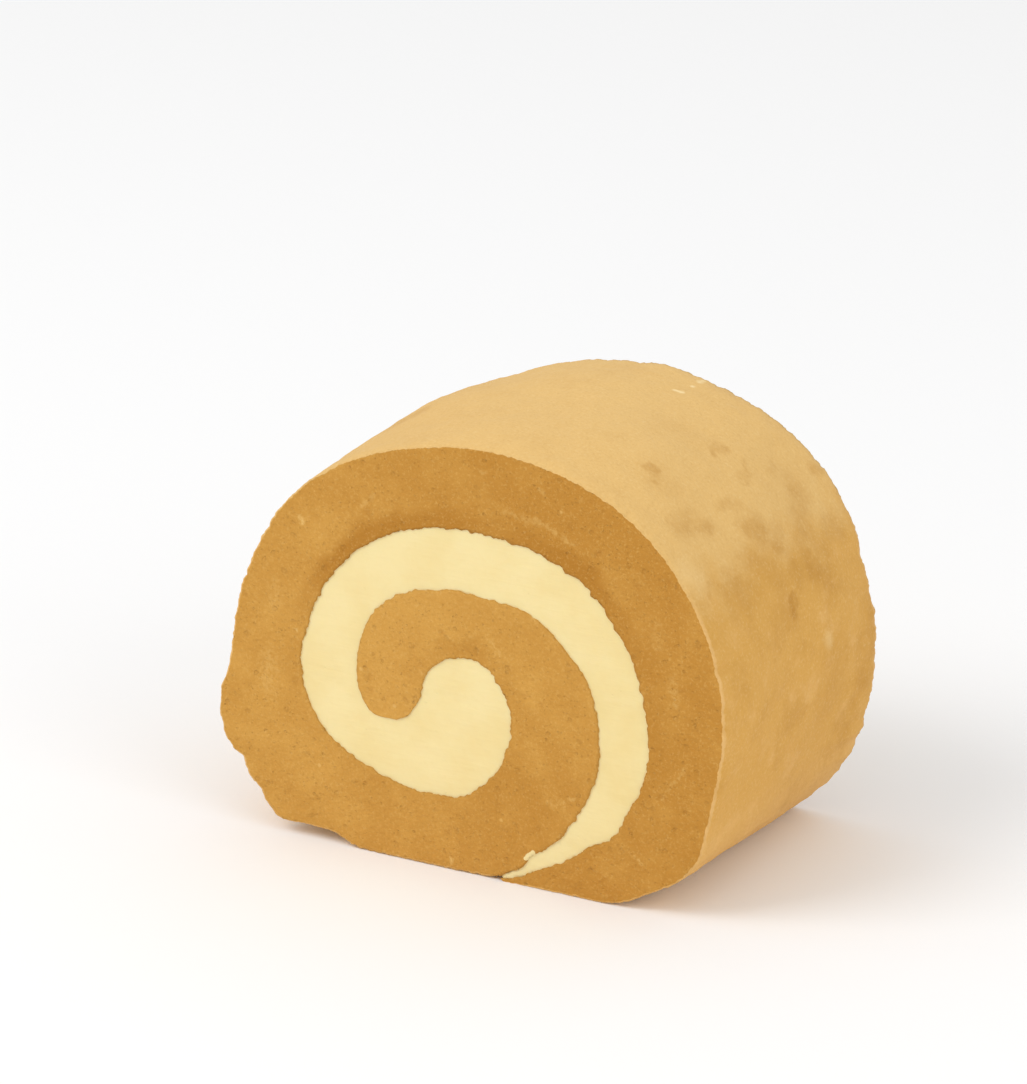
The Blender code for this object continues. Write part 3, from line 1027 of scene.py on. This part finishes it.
def cream_finish(colours):
    """Smooth cream with faint cloudiness and the drag of the knife."""
    finish = Finish("cream")
    place = finish.add("ShaderNodeTexCoord", output="Object")
    cloud = finish.patches(place, 8.0, 0.35, 0.75, 3.0, 0.55)
    across = finish.add("ShaderNodeSeparateXYZ", {}, {"Vector": place}, "X")
    deep = cloud * 0.5 + finish.step(across, *DEEPER_CREAM_RIGHT) * 0.25
    colour = finish.mix(deep, opaque(colours.cream), opaque(colours.cream_deep))
    grain = finish.patches(place, 0.9, 0.50, 0.80)
    colour = finish.mix(grain * 0.15, colour, opaque(colours.cream_deep))
    drag = finish.clouds(finish.vector("MULTIPLY", place, (0.15, 0.3, 1.0)), 0.7, 2.0)
    bubbles = finish.pores(finish.wobbled(place, 0.8, 0.1), 1.9, 0.14)
    height = drag * 0.35 + finish.clouds(place, 2.2, 2.0) * 0.65 - bubbles * 0.3
    finish.set(
        Base_Color=colour,
        Roughness=0.42 + 0.14 * cloud,
        Normal=finish.bump(height, 0.16),
        Specular_IOR_Level=0.35,
        Subsurface_Weight=0.12,
        Subsurface_Radius=(0.004, 0.003, 0.0015),
        Subsurface_Scale=1.0,
    )
    return finish.material


def softbox(name, place, power):
    """Square soft light at this place, shining at the roll's middle."""
    lamp = bpy.data.lights.new(name, "AREA")
    lamp.shape = "SQUARE"
    lamp.size = SOFTBOX_SIDE
    lamp.energy = power
    light = bpy.data.objects.new(name, lamp)
    light.location = place
    light.rotation_euler = (Vector(LIGHT_AIM) - light.location).to_track_quat("-Z", "Y").to_euler()
    bpy.context.scene.collection.objects.link(light)


class SWISS_ROLL_OT_stage(bpy.types.Operator):
    """Set the roll on a pale floor under soft light, with the camera at the picture's angle"""

    bl_idname = "swiss_roll.stage"
    bl_label = "Set the stage"

    def execute(self, context):
        scene = context.scene
        stage = scene.swiss_roll_stage
        bm = bmesh.new()
        bmesh.ops.create_grid(bm, x_segments=1, y_segments=1, size=FLOOR_REACH)
        mesh = bpy.data.meshes.new("floor")
        bm.to_mesh(mesh)
        bm.free()
        finish = Finish("floor")
        floor_colour = opaque(scene.swiss_roll_colours.floor)
        finish.set(Base_Color=floor_colour, Roughness=0.9, Specular_IOR_Level=0.1)
        mesh.materials.append(finish.material)
        floor = bpy.data.objects.new("floor", mesh)
        scene.collection.objects.link(floor)
        floor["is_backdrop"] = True
        softbox("key_softbox", KEY_PLACE, stage.key_power)
        softbox("fill_softbox", FILL_PLACE, stage.fill_power)
        world = bpy.data.worlds.new("surround")
        world.use_nodes = True
        background = world.node_tree.nodes["Background"]
        background.inputs["Color"].default_value = (1.0, 1.0, 1.0, 1.0)
        background.inputs["Strength"].default_value = stage.sky
        scene.world = world
        data = bpy.data.cameras.new("camera")
        data.lens = stage.lens
        data.sensor_fit = "VERTICAL"
        data.sensor_height = SENSOR_HEIGHT
        camera = bpy.data.objects.new("camera", data)
        camera.location = stage.camera_place
        camera.rotation_euler = (math.pi / 2 - stage.camera_tilt, 0.0, stage.camera_turn)
        scene.collection.objects.link(camera)
        scene.camera = camera
        scene.view_settings.view_transform = "Standard"
        return {"FINISHED"}


class SWISS_ROLL_PT_panel(bpy.types.Panel):
    """Lists the roll's pieces, sizes and colours"""

    bl_label = "Swiss Roll"
    bl_idname = "SWISS_ROLL_PT_panel"
    bl_space_type = "VIEW_3D"
    bl_region_type = "UI"
    bl_category = "Swiss Roll"

    def draw(self, context):
        for operator in OPERATORS:
            self.layout.operator(operator.bl_idname)
        for name in GROUPS:
            group = getattr(context.scene, name)
            box = self.layout.box()
            for value in group.__annotations__:
                box.prop(group, value)


OPERATORS = (SWISS_ROLL_OT_sponge, SWISS_ROLL_OT_cream, SWISS_ROLL_OT_stage)
GROUPS = {
    "swiss_roll_sizes": SwissRollSizes,
    "swiss_roll_colours": SwissRollColours,
    "swiss_roll_stage": SwissRollStage,
}


def register():
    for name, group in GROUPS.items():
        bpy.utils.register_class(group)
        setattr(bpy.types.Scene, name, PointerProperty(type=group))
    for operator in OPERATORS:
        bpy.utils.register_class(operator)
    bpy.utils.register_class(SWISS_ROLL_PT_panel)


def unregister():
    bpy.utils.unregister_class(SWISS_ROLL_PT_panel)
    for operator in reversed(OPERATORS):
        bpy.utils.unregister_class(operator)
    for name, group in GROUPS.items():
        delattr(bpy.types.Scene, name)
        bpy.utils.unregister_class(group)


def main():
    register()
    bpy.ops.swiss_roll.sponge()
    bpy.ops.swiss_roll.cream()
    bpy.ops.swiss_roll.stage()
    boxes = {"cad": CAD_BOX, "visual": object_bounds()}
    boxes = {name: [[float(value) for value in corner] for corner in box] for name, box in boxes.items()}


if __name__ == "__main__":
    main()
